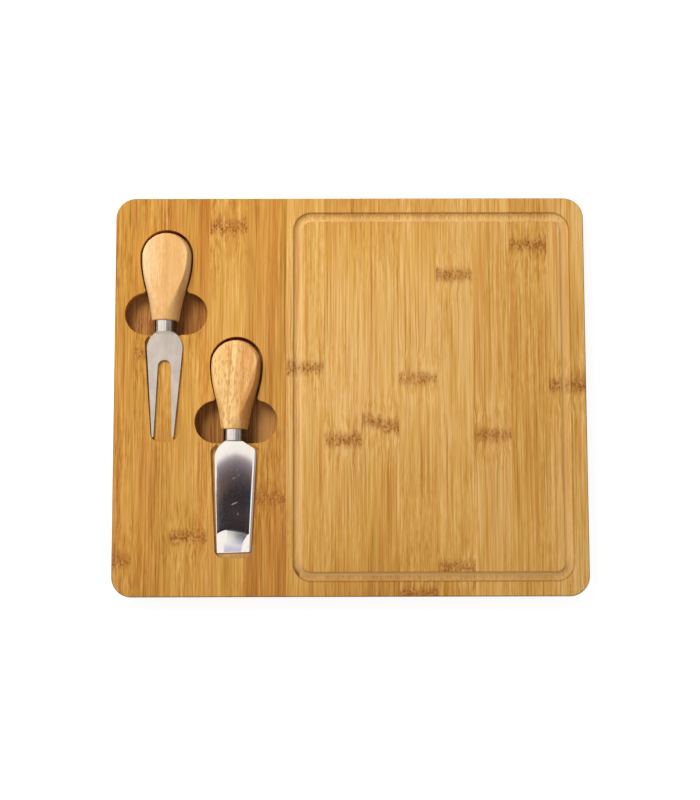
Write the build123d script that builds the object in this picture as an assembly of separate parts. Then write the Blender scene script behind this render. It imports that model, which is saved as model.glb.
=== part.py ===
from build123d import *
from math import radians, tan
import os

# Cheese board with a fork and a knife laid in routed pockets.
# Millimetres, +X to the right along the long side, +Y to the back, +Z up.
# The origin is the middle of the underside.

# Board blank: three plies of edge-glued bamboo strips, all with the grain along Y.
board_length = 280.0
board_width = 237.0
ply_thickness = 5.0
corner_radius = 12.0
edge_round = 1.0
strip_width = 22.4
# Widths of the strips from the left edge, as shares of strip_width. Each ply starts
# with another first strip, so that no two seams lie over each other.
top_first_share = 0.515
core_first_share = 0.795
base_first_share = 1.015
strip_width_shares = (1.0, 1.0, 1.0, 1.045, 1.0, 1.0, 0.98, 1.0, 0.98, 0.98, 1.0)
least_strip_share = 0.25

# Juice groove, cut with a round-nosed cutter along a rounded rectangle.
groove_width = 5.6
groove_depth = 1.5
groove_margin = 9.0
groove_left = 106.3
groove_corner = 7.8

# Handle: a turned drop, flattened on two sides, with a spigot for the ferrule. The lower
# flat lies level. The upper one falls towards the crown, so it runs out before the neck.
handle_length = 53.1
handle_width = 29.3
handle_flat = 14.6
upper_flat_at_neck = 8.9
upper_flat_at_crown = 6.5
neck_width = 16.0
flat_edge_chamfer = 0.5
# Corners of the outline between the neck and the ball of the crown: how far out and how
# far along they lie. A turned curve rounds each of them off, and takes up a share of the
# shorter side beside it.
waist_out_share = 0.165
waist_along_share = 0.233
shoulder_along_share = 0.793
waist_round_share = 0.88
shoulder_round_share = 0.95

# Ferrule: a drawn steel cup over the spigot, slotted for the tang.
ferrule_diameter = 13.0
ferrule_length = 6.8
ferrule_wall = 0.6
ferrule_end = 0.8
ferrule_chamfer = 0.4
spigot_clearance = 0.05

# Tang, the same on both blades.
blade_thickness = 1.5
tang_width = 7.0
tang_length = 30.0
tang_clearance = 0.05

# Fork blade: a flat stamping with two long tines.
fork_length = 62.5
fork_neck_width = 11.0
fork_width = 22.0
fork_shoulder_drop = 4.6
fork_shoulder_share = 0.85
fork_tip_width = 12.9
slot_width = 7.7
slot_drop = 16.5
slot_end_width = 10.8
tine_tip_round = 0.5

# Knife blade: broad and flat, ground along its right side and at its end.
knife_length = 66.1
knife_neck_width = 9.6
knife_width = 25.0
knife_end_width = 20.1
knife_offset = 1.0
knife_end_offset = 1.65
knife_left_drop = 4.8
knife_right_drop = 5.2
knife_shoulder_share = 0.75
knife_right_round = 1.6
knife_end_rise = 1.1
side_bevel_width = 1.8
side_bevel_depth = 0.7
end_bevel_left = 12.6
end_bevel_right = 6.9
end_bevel_depth = 1.1

# Pockets: one deep one for the handle and the fingers, one shallow one for the blade.
pocket_depth = 9.0
pocket_clearance = 1.2
notch_length = 49.2
notch_width = 25.4
notch_above_neck = 3.6
mouth_round = 1.8
blade_floor_gap = 0.15
blade_mouth_clearance = 2.2
blade_mouth_round = 0.4
blade_end_clearance = 3.3
pocket_shoulder_round = 3.0
pocket_corner = 5.0
# How much lower than the blade's own shoulders the pocket's lie, left and right.
pocket_shoulder_drops = (1.4, 0.6)

# Where the neck of each handle lies, from the left and back edges of the board. Then how
# much room the blade's pocket gives, and how far it is off that line, at the shoulder and
# at the foot. Then how the tool lies in its pockets: its shift as shares of the handle's
# clearance, and its turn in degrees.
fork_from_left = 30.6
fork_from_back = 73.5
fork_clearances = (0.9, 1.4)
fork_pocket_shifts = (-0.8, -0.35)
fork_lay_shares = (0.0, -0.54)
fork_turn = -0.8
knife_from_left = 72.5
knife_from_back = 138.0
knife_clearances = (2.05, 1.35)
knife_pocket_shifts = (-1.5, -2.2)
knife_lay_shares = (-0.18, -0.67)
knife_turn = -1.2

# One overrun for every cut that runs out of the material.
overrun = 2.0

board_thickness = 3 * ply_thickness
left_edge = -board_length / 2
right_edge = board_length / 2
back_edge = board_width / 2
pocket_floor = board_thickness - pocket_depth
tool_height = pocket_floor + handle_flat / 2
blade_floor = tool_height - blade_thickness / 2 - blade_floor_gap
handle_top = ferrule_length + handle_length
ball_centre = handle_top - handle_width / 2
notch_centre = ferrule_length + notch_above_neck


def save(name, solid):
    """Write one sub-part under its own name."""
    solid.label = name
    export_step(solid, f"parts/{name}.step")


def raised(sketch, low, high):
    """Raise a flat outline into a solid between two heights."""
    return extrude(Pos(0, 0, low) * sketch, high - low)


# Tools. Each is drawn with the blade end of its ferrule at the origin, its handle
# towards +Y, its blade towards -Y and the middle of its thickness at height 0.

def corner_round(before, corner, after, share):
    """Radius of the curve that takes up this share of the shorter side at a corner."""
    sides = [Vector(*point) - Vector(*corner) for point in (before, after)]
    turn = 180 - sides[0].get_angle(sides[1])
    return share * min(side.length for side in sides) / tan(radians(turn / 2))


def handle_outline():
    """Outline of the handle: neck, hollow waist, full shoulder and ball crown."""
    half_neck = neck_width / 2
    half = handle_width / 2
    along = ball_centre - ferrule_length
    neck = (half_neck, ferrule_length)
    waist = (
        half_neck + waist_out_share * (half - half_neck),
        ferrule_length + waist_along_share * along,
    )
    shoulder = (half, ferrule_length + shoulder_along_share * along)
    broadest = (half, ball_centre)
    radii = (
        corner_round(neck, waist, shoulder, waist_round_share),
        corner_round(waist, shoulder, broadest, shoulder_round_share),
    )
    right = FilletPolyline(neck, waist, shoulder, broadest, radius=radii)
    crown = ThreePointArc(broadest, (0, handle_top), (-half, ball_centre))
    foot = Line((-half_neck, ferrule_length), neck)
    return make_face(right + crown + mirror(right, Plane.YZ) + foot)


def rod(radius, start, end):
    """A round rod along the tool's axis."""
    standing = Cylinder(radius, end - start, align=(Align.CENTER, Align.CENTER, Align.MIN))
    return Pos(0, start, 0) * Rot(-90, 0, 0) * standing


def tang_slot(end):
    """The slot that a tang passes through, from the ferrule's end into the handle."""
    return Pos(0, -overrun, 0) * Box(
        tang_width + 2 * tang_clearance,
        end + overrun,
        blade_thickness + 2 * tang_clearance,
        align=(Align.CENTER, Align.MIN, Align.CENTER),
    )


def between_flats():
    """The room between the handle's two flats, seen from its side and as wide as it."""
    fall = (upper_flat_at_neck - upper_flat_at_crown) / handle_length
    start = ferrule_length - overrun
    end = handle_top + overrun
    side = Polyline(
        (start, -handle_flat / 2),
        (end, -handle_flat / 2),
        (end, upper_flat_at_crown - fall * overrun),
        (start, upper_flat_at_neck + fall * overrun),
        close=True,
    )
    return extrude(Plane.YZ * make_face(side), handle_width, both=True)


def make_handle():
    """The wooden handle: turned, flattened on two sides, with its spigot."""
    right_side = Rectangle(handle_width, 2 * handle_top, align=(Align.MIN, Align.CENTER))
    drop = revolve(handle_outline() & right_side, Axis.Y)
    body = drop & between_flats()
    flats = body.faces().filter_by(GeomType.PLANE).sort_by(Axis.Z)
    body = chamfer(flats[0].edges() + flats[-1].edges(), flat_edge_chamfer)
    spigot_radius = ferrule_diameter / 2 - ferrule_wall - spigot_clearance
    spigot = rod(spigot_radius, ferrule_end + spigot_clearance, ferrule_length + overrun)
    return body + spigot - tang_slot(tang_length + tang_clearance)


def make_ferrule():
    """The ferrule: a cup, open towards the handle, slotted in its end."""
    cup = rod(ferrule_diameter / 2, 0, ferrule_length)
    rims = cup.edges().filter_by(GeomType.CIRCLE).sort_by(Axis.Y)
    cup = chamfer(rims[0], ferrule_chamfer)
    bore = rod(ferrule_diameter / 2 - ferrule_wall, ferrule_end, ferrule_length + overrun)
    return cup - bore - tang_slot(ferrule_length)


def tang():
    """Outline of the tang, from the blade's neck into the handle."""
    return Rectangle(tang_width, tang_length, align=(Align.CENTER, Align.MIN))


def fork_corners():
    """Corners of the fork blade, from its neck down the left and up the right."""
    neck = fork_neck_width / 2
    side = fork_width / 2
    tip = fork_tip_width / 2
    left = [(-neck, 0), (-side, -fork_shoulder_drop), (-tip, -fork_length)]
    return left + [(-x, y) for x, y in reversed(left)]


def knife_corners():
    """Corners of the knife blade, in the same order."""
    neck = knife_neck_width / 2
    side = knife_width / 2
    foot = knife_end_width / 2
    return [
        (-neck, 0),
        (knife_offset - side, -knife_left_drop),
        (knife_end_offset - foot, -knife_length),
        (knife_end_offset + foot, -knife_length + knife_end_rise),
        (knife_offset + side, -knife_right_drop),
        (neck, 0),
    ]


def tine_slot():
    """The gap between the tines: an arch at the top, then widening past the tips."""
    radius = slot_width / 2
    centre = -slot_drop - radius
    end = -fork_length - overrun
    spread = (slot_end_width - slot_width) / 2 * (centre - end) / (centre + fork_length)
    arch = CenterArc((0, centre), radius, 0, 180)
    sides = Polyline(
        (-radius, centre), (-radius - spread, end), (radius + spread, end), (radius, centre)
    )
    return make_face(arch + sides)


def make_fork_blade():
    """The fork blade and its tang, cut from sheet."""
    corners = fork_corners()
    shoulder = corner_round(*corners[:3], fork_shoulder_share)
    outline = FilletPolyline(*corners, radius=(0, shoulder, 0, 0, shoulder, 0), close=True)
    flat = make_face(outline) - tine_slot()
    tips = flat.vertices().group_by(Axis.Y)[0]
    flat = fillet(tips, tine_tip_round) + tang()
    return raised(flat, -blade_thickness / 2, blade_thickness / 2)


def side_grind():
    """What the grinding takes off along the knife's right side."""
    corners = knife_corners()
    foot, top = Vector(*corners[3]), Vector(*corners[4])
    along = (top - foot).normalized()
    inward = Vector(-along.Y, along.X, 0)
    surface = Vector(0, 0, blade_thickness / 2)
    drop = side_bevel_depth / side_bevel_width
    wedge = make_face(
        Polyline(
            (side_bevel_width, 0),
            (-overrun, -drop * (side_bevel_width + overrun)),
            (-overrun, overrun),
            (side_bevel_width, overrun),
            close=True,
        )
    )
    start = foot - along * overrun + surface
    length = (top - foot).length + 2 * overrun
    return extrude(Plane(start, x_dir=inward, z_dir=along) * wedge, length)


def end_grind():
    """What the grinding takes off at the knife's end, above one slanting plane."""
    corners = knife_corners()
    surface = Vector(0, 0, blade_thickness / 2)
    left, right = Vector(*corners[2]), Vector(*corners[3])
    heel_left = left + Vector(0, end_bevel_left, 0) + surface
    heel_right = right + Vector(0, end_bevel_right, 0) + surface
    edge_left = left + surface - Vector(0, 0, end_bevel_depth)
    up = (heel_right - heel_left).cross(heel_left - edge_left).normalized()
    side = 2 * knife_length
    block = Box(side, side, 2 * blade_thickness, align=(Align.CENTER, Align.CENTER, Align.MIN))
    return Plane(heel_left, x_dir=heel_right - heel_left, z_dir=up) * block


def make_knife_blade():
    """The knife blade and its tang, cut from sheet and ground on two sides."""
    corners = knife_corners()
    shoulder = corner_round(*corners[:3], knife_shoulder_share)
    outline = FilletPolyline(
        *corners, radius=(0, shoulder, 0, 0, knife_right_round, 0), close=True
    )
    flat = make_face(outline) + tang()
    blade = raised(flat, -blade_thickness / 2, blade_thickness / 2)
    return blade - side_grind() - end_grind()


# Pockets, drawn in the same place as the tool that lies straight in them.

def open_into_notch(outline, corner):
    """Join a pocket to the finger notch, and round the corners between the two."""
    joined = outline + Pos(0, notch_centre) * SlotOverall(notch_length, notch_width)
    return offset(offset(joined, corner), -corner)


def handle_pocket():
    """Outline of the handle's pocket with the finger notch across its neck."""
    return open_into_notch(offset(handle_outline(), pocket_clearance), mouth_round)


def blade_pocket(corners, clearances, shifts):
    """Outline of a blade's pocket, from the blade's own corners."""
    left_neck, left_top, left_foot, right_foot, right_top, right_neck = corners
    top_room, foot_room = clearances
    shift, foot_shift = shifts
    left_drop, right_drop = pocket_shoulder_drops
    mouth_left = shift + left_neck[0] - blade_mouth_clearance
    mouth_right = shift + right_neck[0] + blade_mouth_clearance
    end = left_foot[1] - blade_end_clearance
    rounds = (0, 0, pocket_shoulder_round, pocket_corner)
    outline = make_face(
        FilletPolyline(
            (mouth_left, notch_centre),
            (mouth_left, 0),
            (shift + left_top[0] - top_room, left_top[1] - left_drop),
            (foot_shift + left_foot[0] - foot_room, end),
            (foot_shift + right_foot[0] + foot_room, end),
            (shift + right_top[0] + top_room, right_top[1] - right_drop),
            (mouth_right, 0),
            (mouth_right, notch_centre),
            radius=rounds + rounds[::-1],
            close=True,
        )
    )
    return open_into_notch(outline, blade_mouth_round)


# Board.

def make_groove():
    """The cutter's path round the serving side, as a solid to take away."""
    cutter_radius = (groove_width ** 2 / 4 + groove_depth ** 2) / (2 * groove_depth)
    left = left_edge + groove_left + groove_width / 2
    right = right_edge - groove_margin - groove_width / 2
    depth = board_width - 2 * groove_margin - groove_width
    path = RectangleRounded(right - left, depth, groove_corner).wire()
    path = path.moved(Pos((left + right) / 2, 0, board_thickness + cutter_radius - groove_depth))
    cutter = Plane(path @ 0, z_dir=path % 0) * Circle(cutter_radius)
    return sweep(cutter, path=path)


def make_blank():
    """The whole board before it is taken apart into strips."""
    blank = raised(RectangleRounded(board_length, board_width, corner_radius), 0, board_thickness)
    rims = blank.faces().sort_by(Axis.Z)[-1].edges() + blank.faces().sort_by(Axis.Z)[0].edges()
    blank = fillet(rims, edge_round) - make_groove()
    fork_room = blade_pocket(fork_corners(), fork_clearances, fork_pocket_shifts)
    knife_room = blade_pocket(knife_corners(), knife_clearances, knife_pocket_shifts)
    tools = (
        (fork_from_left, fork_from_back, fork_room),
        (knife_from_left, knife_from_back, knife_room),
    )
    top = board_thickness + overrun
    for from_left, from_back, room in tools:
        place = Pos(left_edge + from_left, back_edge - from_back - ferrule_length)
        blank -= place * raised(handle_pocket(), pocket_floor, top)
        blank -= place * raised(room, blade_floor, top)
    return blank


def strip_edges(first_share):
    """Places of one ply's edges and seams, from left to right."""
    edges = [left_edge]
    seam = left_edge + strip_width * first_share
    while seam < right_edge - strip_width * least_strip_share:
        share = strip_width_shares[(len(edges) - 1) % len(strip_width_shares)]
        edges.append(seam)
        seam += strip_width * share
    return edges + [right_edge]


def save_ply(name, blank, level, first_share):
    """Cut one ply out of the blank and save its strips, counted from the left."""
    edges = strip_edges(first_share)
    for number, (left, right) in enumerate(zip(edges, edges[1:]), 1):
        room = Box(right - left, 2 * board_width, ply_thickness, align=Align.MIN)
        place = Pos(left, -board_width, level * ply_thickness)
        save(f"{name}_strip_{number:02d}", blank & (place * room))


def tool_place(from_left, from_back, lay_shares, turn):
    """Where a tool lies: turned about the ball of its handle."""
    x = left_edge + from_left + lay_shares[0] * pocket_clearance
    y = back_edge - from_back - ferrule_length + lay_shares[1] * pocket_clearance
    return Pos(x, y + ball_centre, tool_height) * Rot(0, 0, turn) * Pos(0, -ball_centre, 0)


def main():
    os.makedirs("parts", exist_ok=True)
    blank = make_blank()
    save_ply("base", blank, 0, base_first_share)
    save_ply("core", blank, 1, core_first_share)
    save_ply("top", blank, 2, top_first_share)
    handle = make_handle()
    ferrule = make_ferrule()
    fork_place = tool_place(fork_from_left, fork_from_back, fork_lay_shares, fork_turn)
    knife_place = tool_place(knife_from_left, knife_from_back, knife_lay_shares, knife_turn)
    save("fork_blade", fork_place * make_fork_blade())
    save("fork_ferrule", fork_place * ferrule)
    save("fork_handle", fork_place * handle)
    save("knife_blade", knife_place * make_knife_blade())
    save("knife_ferrule", knife_place * ferrule)
    save("knife_handle", knife_place * handle)


main()
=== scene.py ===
import math
import random
from functools import partial

import bmesh
import bpy
from mathutils import Matrix, Vector


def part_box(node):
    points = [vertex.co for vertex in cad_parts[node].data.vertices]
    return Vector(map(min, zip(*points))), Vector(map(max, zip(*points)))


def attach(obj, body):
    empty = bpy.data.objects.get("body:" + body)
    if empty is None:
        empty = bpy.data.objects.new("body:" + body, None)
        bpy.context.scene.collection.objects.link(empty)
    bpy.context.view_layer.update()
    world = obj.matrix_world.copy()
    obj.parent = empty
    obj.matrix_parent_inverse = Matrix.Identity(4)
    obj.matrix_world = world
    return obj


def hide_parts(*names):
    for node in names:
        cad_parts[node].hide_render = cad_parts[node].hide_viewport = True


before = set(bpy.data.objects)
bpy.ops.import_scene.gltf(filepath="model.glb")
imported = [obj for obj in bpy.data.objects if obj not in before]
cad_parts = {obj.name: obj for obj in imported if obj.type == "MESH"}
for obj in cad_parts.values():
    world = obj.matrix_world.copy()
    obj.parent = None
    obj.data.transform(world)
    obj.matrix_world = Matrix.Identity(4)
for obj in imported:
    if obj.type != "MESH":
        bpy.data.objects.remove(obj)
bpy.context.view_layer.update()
millimetre = 0.001


def linear(hexText):
    channels = [int(hexText[i:i + 2], 16) / 255 for i in (1, 3, 5)]
    return [c / 12.92 if c <= 0.04045 else ((c + 0.055) / 1.055) ** 2.4 for c in channels] + [1.0]


def addNode(tree, kind, inputs=(), **settings):
    # inputs is a list by place or a dictionary by name or place; a socket is linked, a value is
    # set. Returns the first output in use, whose node gives the others.
    node = tree.nodes.new(kind)
    for name, value in settings.items():
        setattr(node, name, value)
    for key, value in (inputs.items() if isinstance(inputs, dict) else enumerate(inputs)):
        if isinstance(value, bpy.types.NodeSocket):
            tree.links.new(value, node.inputs[key])
        elif value is not None:
            node.inputs[key].default_value = value
    return next((output for output in node.outputs if output.enabled), None)


def setRamp(output, stops):
    elements = output.node.color_ramp.elements
    while len(elements) < len(stops):
        elements.new(1.0)
    for element, (position, colour) in zip(elements, stops):
        element.position = position
        element.color = linear(colour) if isinstance(colour, str) else (colour, colour, colour, 1.0)
    return output


def maskOf(add, *factors):
    # The product of sockets, numbers and ranges, each (value, where it starts, where it is full).
    mask = None
    for factor in factors:
        if isinstance(factor, tuple):
            value, start, full = factor
            factor = add("ShaderNodeMapRange", {"Value": value, "From Min": start, "From Max": full})
        mask = factor if mask is None else add("ShaderNodeMath", [mask, factor], operation="MULTIPLY")
    return mask


def newMaterial(name, **fixed):
    # A material with one Principled shader; fixed values go on the shader's own sockets.
    material = bpy.data.materials.new(name)
    material.use_nodes = True
    tree = material.node_tree
    tree.nodes.clear()
    shader = addNode(tree, "ShaderNodeBsdfPrincipled",
                     {key.replace("_", " "): value for key, value in fixed.items()})
    addNode(tree, "ShaderNodeOutputMaterial", {"Surface": shader})
    return material, tree, shader.node


def newGroup(name, inputs, outputs):
    group = bpy.data.node_groups.new(name, "ShaderNodeTree")
    for label in inputs:
        group.interface.new_socket(label, in_out="INPUT", socket_type="NodeSocketFloat")
    for label, kind in outputs:
        group.interface.new_socket(label, in_out="OUTPUT", socket_type=kind)
    given = group.nodes.new("NodeGroupInput").outputs
    made = group.nodes.new("NodeGroupOutput").inputs
    return group, given, made


# Camera. Its place comes from the perspective of the board's four sides in the photograph.
view = {
    "lens": 53.55,
    "place": (-0.00265, -0.0645, 0.7162),
    "turn": (0.0872659, -0.0033613, -0.002438),
}
cameraData = bpy.data.cameras.new("camera")
cameraData.lens = view["lens"]
camera = bpy.data.objects.new("camera", cameraData)
camera.location = view["place"]
camera.rotation_euler = view["turn"]
bpy.context.scene.collection.objects.link(camera)
bpy.context.scene.camera = camera
bpy.context.scene.view_settings.view_transform = "Standard"
print("camera: ready")

# Studio: a white sheet under a soft sky, one large soft lamp at the upper left. Shiny surfaces
# see a white room that is dimmer on the right and dark along its foot.
studio = {
    "floorSize": 24.0,
    "floorColour": "#A8A8A8",
    "floorGlow": 0.85,
    "sky": 0.38,
    "roomWhite": "#FFF9F2",
    "roomRight": "#A39A96",
    "rightFrom": (0.10, 0.40),
    "roomFoot": "#2E2A2C",
    "footFrom": (0.30, 0.10),
    "keyPower": 7.2,
    "keySize": 0.5,
    "keyPlace": (-0.44, 0.50, 0.68),
    "keyAim": (0.03, 0.07, 0.0),
    "keyColour": "#FFFAF2",
}

world = bpy.data.worlds.new("studioSky")
bpy.context.scene.world = world
world.use_nodes = True
sky = world.node_tree
sky.nodes.clear()
add = partial(addNode, sky)
rays = add("ShaderNodeLightPath").node.outputs
direction = add("ShaderNodeTexCoord").node.outputs["Generated"]
toX, toY, toZ = add("ShaderNodeSeparateXYZ", [direction]).node.outputs
room = linear(studio["roomWhite"])
for value, (start, full), tint in ((toX, studio["rightFrom"], "roomRight"), (toZ, studio["footFrom"], "roomFoot")):
    share = add("ShaderNodeMapRange", {"Value": value, "From Min": start, "From Max": full},
                interpolation_type="SMOOTHSTEP")
    room = add("ShaderNodeMix", {0: share, 6: room, 7: linear(studio[tint])}, data_type="RGBA")
plain = [studio["sky"]] * 3 + [1.0]
shade = add("ShaderNodeMix", {0: rays["Is Glossy Ray"], 6: plain, 7: room}, data_type="RGBA")
seen = add("ShaderNodeMath", [rays["Is Camera Ray"], rays["Is Transmission Ray"]], operation="MAXIMUM")
shade = add("ShaderNodeMix", {0: seen, 6: shade, 7: (1.0, 1.0, 1.0, 1.0)}, data_type="RGBA")
skyLight = add("ShaderNodeBackground", {"Color": shade, "Strength": 1.0})
add("ShaderNodeOutputWorld", {"Surface": skyLight})

keyData = bpy.data.lights.new("keyLamp", "AREA")
keyData.shape = "DISK"
keyData.size = studio["keySize"]
keyData.energy = studio["keyPower"]
keyData.color = linear(studio["keyColour"])[:3]
keyLamp = bpy.data.objects.new("keyLamp", keyData)
keyLamp.location = studio["keyPlace"]
toAim = Vector(studio["keyAim"]) - Vector(studio["keyPlace"])
keyLamp.rotation_euler = toAim.to_track_quat("-Z", "Y").to_euler()
keyLamp.visible_glossy = False
bpy.context.scene.collection.objects.link(keyLamp)


def addSheet(name, outline, height, material):
    # A flat level sheet of the studio; outline in metres.
    mesh = bpy.data.meshes.new(name)
    mesh.from_pydata([(x, y, height) for x, y in outline], [], [tuple(range(len(outline)))])
    mesh.materials.append(material)
    sheet = bpy.data.objects.new(name, mesh)
    bpy.context.scene.collection.objects.link(sheet)
    return sheet


# Floor: matt grey paper. The camera sees it lifted to pure white, and it keeps the shadow.
paper, tree, shader = newMaterial("matt studio paper", Roughness=0.9)
shader.inputs["Base Color"].default_value = linear(studio["floorColour"])
add = partial(addNode, tree)
rays = add("ShaderNodeLightPath").node.outputs
seen = add("ShaderNodeMath", [rays["Is Camera Ray"], rays["Is Glossy Ray"]], operation="MAXIMUM")
seen = add("ShaderNodeMath", [seen, rays["Is Transmission Ray"]], operation="MAXIMUM")
glow = add("ShaderNodeMath", [seen, studio["floorGlow"]], operation="MULTIPLY")
lift = add("ShaderNodeEmission", {"Color": (1.0, 1.0, 1.0, 1.0), "Strength": glow})
lit = add("ShaderNodeAddShader", [shader.outputs[0], lift])
clear = add("ShaderNodeBsdfTransparent")
behind = add("ShaderNodeNewGeometry").node.outputs["Backfacing"]
floorFace = add("ShaderNodeMixShader", [behind, lit, clear])
tree.links.new(floorFace, tree.nodes["Material Output"].inputs["Surface"])
half = studio["floorSize"] / 2
addSheet("floor", [(-half, -half), (half, -half), (half, half), (-half, half)], -0.0001, paper)


def newGlow(name):
    # A material that only glows, for a sheet that shiny pieces mirror; x and y are in metres.
    material = bpy.data.materials.new(name)
    material.use_nodes = True
    material.node_tree.nodes.clear()
    add = partial(addNode, material.node_tree)
    here = add("ShaderNodeTexCoord").node.outputs["Object"]
    x, y = add("ShaderNodeSeparateXYZ", [here]).node.outputs[:2]
    return material, add, x, y


# The dark thing over the knife, which only shiny surfaces see: the camera and its hood, which
# the polished blade mirrors in the photograph. Its back edge is an arch. In metres, and the
# tints in shares of its half width and of its shaded length.
hood = {
    "middle": -0.1325, "half": 0.0255, "front": -0.162, "back": -0.0045,
    "archDrop": 0.015, "archSteps": 16, "shadedLength": 0.2105, "height": 0.72,
    "shades": [(0.0, "#D8CCCA"), (0.015, "#A99C9F"), (0.04, "#82767C"), (0.07, "#6E6469"),
               (0.108, "#584E52"), (0.15, "#484042"), (0.20, "#382F31"), (0.24, "#322A2C"),
               (0.33, "#3E3536"), (0.40, "#322A2A"), (0.62, "#2E2829"), (0.75, "#43434B")],
    "skew": 0.088,
    "sides": [("#1B2438", 0.2, 0.6), ("#20262A", -0.2, -0.6)],
    "sideShare": 0.8, "sideStart": (0.19, 0.24), "sideEnd": (0.37, 0.32),
    "brown": "#6A4F49", "brownAcross": (-0.05, -0.5),
    "brownShare": 0.6, "brownStart": (0.02, 0.08), "brownEnd": (0.19, 0.12),
}
outline = [(hood["middle"] - hood["half"], hood["front"]), (hood["middle"] + hood["half"], hood["front"])]
for step in range(hood["archSteps"] + 1):
    off = 1.0 - 2 * step / hood["archSteps"]
    outline.append((hood["middle"] + off * hood["half"], hood["back"] - hood["archDrop"] * off ** 2))
hoodCloth, add, x, y = newGlow("dark camera hood")
off = add("ShaderNodeMapRange", {"Value": x, "From Min": hood["middle"], "From Max": hood["middle"] + hood["half"]},
          clamp=False)
arch = add("ShaderNodeMath", [off, 2.0], operation="POWER")
arch = add("ShaderNodeMath", [arch, hood["archDrop"], y], operation="MULTIPLY_ADD")
down = add("ShaderNodeMapRange", {"Value": arch, "From Min": hood["back"],
                                  "From Max": hood["back"] - hood["shadedLength"]})
shade = setRamp(add("ShaderNodeValToRGB", [down]), hood["shades"])
skewed = add("ShaderNodeMath", [off, hood["skew"], down], operation="MULTIPLY_ADD")
for tint, start, full in hood["sides"]:
    side = maskOf(add, hood["sideShare"], (off, start, full), (skewed, *hood["sideStart"]),
                  (skewed, *hood["sideEnd"]))
    shade = add("ShaderNodeMix", {0: side, 6: shade, 7: linear(tint)}, data_type="RGBA")
warm = maskOf(add, hood["brownShare"], (off, *hood["brownAcross"]), (skewed, *hood["brownStart"]),
              (skewed, *hood["brownEnd"]))
shade = add("ShaderNodeMix", {0: warm, 6: shade, 7: linear(hood["brown"])}, data_type="RGBA")
glow = add("ShaderNodeEmission", {"Color": shade, "Strength": 1.0})
add("ShaderNodeOutputMaterial", {"Surface": glow})

# A pale cloth further out, with a slate and a lavender fold, which the knife's rolled end
# mirrors. In metres.
folds = {
    "left": -0.19, "right": -0.11, "front": -0.245, "back": -0.163,
    "slantFrom": -0.175, "slant": 0.12, "bendFrom": (-0.174, -0.163), "bend": 0.008,
    "slateEnd": -0.208, "slateAcross": (-0.1450, -0.1478), "slateAlong": (-0.210, -0.200),
    "slate": [(0.0, "#34343A"), (0.2, "#36363D"), (0.45, "#42464F"), (0.56, "#5C6371"),
              (0.68, "#7F899A"), (0.80, "#A6AEBB"), (0.92, "#C8CCD4"), (1.0, "#E4E2E4")],
    "lavender": "#C9C5DB", "lavenderAcross": (-0.112, -0.128), "lavenderAlong": (-0.199, -0.213),
}
foldedCloth, add, x, y = newGlow("pale folded cloth")
slanted = add("ShaderNodeMath", [y, folds["slantFrom"]], operation="SUBTRACT")
slanted = add("ShaderNodeMath", [slanted, -folds["slant"], x], operation="MULTIPLY_ADD")
bendStart, bendFull = folds["bendFrom"]
bend = add("ShaderNodeMapRange", {"Value": y, "From Min": bendStart, "From Max": bendFull, "To Max": folds["bend"]})
slanted = add("ShaderNodeMath", [slanted, bend], operation="SUBTRACT")
down = add("ShaderNodeMapRange", {"Value": y, "From Min": folds["back"], "From Max": folds["slateEnd"]})
slate = setRamp(add("ShaderNodeValToRGB", [down]), folds["slate"])
shade = linear(studio["roomWhite"])
for name, tint, side in (("slate", slate, slanted), ("lavender", linear(folds["lavender"]), x)):
    parts = []
    for value, (start, full) in ((side, folds[name + "Across"]), (y, folds[name + "Along"])):
        parts.append(add("ShaderNodeMapRange", {"Value": value, "From Min": start, "From Max": full},
                         interpolation_type="SMOOTHSTEP"))
    shade = add("ShaderNodeMix", {0: maskOf(add, *parts), 6: shade, 7: tint}, data_type="RGBA")
glow = add("ShaderNodeEmission", {"Color": shade, "Strength": 1.0})
add("ShaderNodeOutputMaterial", {"Surface": glow})
foldOutline = [(folds[side], folds[end]) for side, end in (("left", "front"), ("right", "front"),
                                                           ("right", "back"), ("left", "back"))]
for sheet in (addSheet("cameraHood", outline, hood["height"], hoodCloth),
              addSheet("foldedCloth", foldOutline, hood["height"], foldedCloth)):
    sheet.visible_camera = False
    sheet.visible_diffuse = False
    sheet.visible_transmission = False
    sheet.visible_shadow = False
print("studio: ready")

# Bamboo. Carbonised bamboo strips, pressed flat, sanded and lightly oiled: long straight
# fibres in honey and caramel, with a band of short brown dashes where a knuckle of the cane was.
# Colours, and how much light each kind of mark takes; lengths in millimetres.
bamboo = {
    "ramp": [(0.16, "#A06726"), (0.34, "#C2883A"), (0.50, "#D79E49"), (0.66, "#E4B05C"), (0.86, "#F3C67E")],
    "reddish": "#C97B32",
    "greenish": "#BC9634",
    "rosy": "#D9A06C",
    "line": "#A8661F",
    "wash": "#B0702A",
    "bandWash": "#AC6A2E",
    "dash": "#6F3D0C",
    "speck": "#EDBE74",
    "routed": "#7F4B26",
    "routedLight": "#C08A50",
    "arris": "#80501E",
    # the next three are the groove's cut: pale, with painted light on its inner and lee slopes, and darker along
    # the front as painted shade
    "freshCutAndLight": "#ECC892",
    "leeCutLight": "#FFCD7E",
    "frontCutShade": "#A88250",
    # edge: painted shade on the rims
    "edge": "#8A7050",
    "pocketFloor": "#C2A87E",
    "endGrain": "#94602A",
    "sheen": 0.22,
    # fine, medium and broad fibres are about 0.6, 1.6 and 7 mm wide: how often each kind of mark
    # comes across and along the strip in a millimetre, and how much of the tone it takes
    "waves": [("fine", 1.6, 0.034), ("medium", 0.62, 0.024), ("broad", 0.15, 0.009), ("flame", 0.7, 0.10),
              ("tick", 1.25, 0.15)],
    "waveShares": {"fine": 0.72, "medium": 0.42, "broad": 0.38, "flame": 0.8, "tick": 0.55},
}
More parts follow.
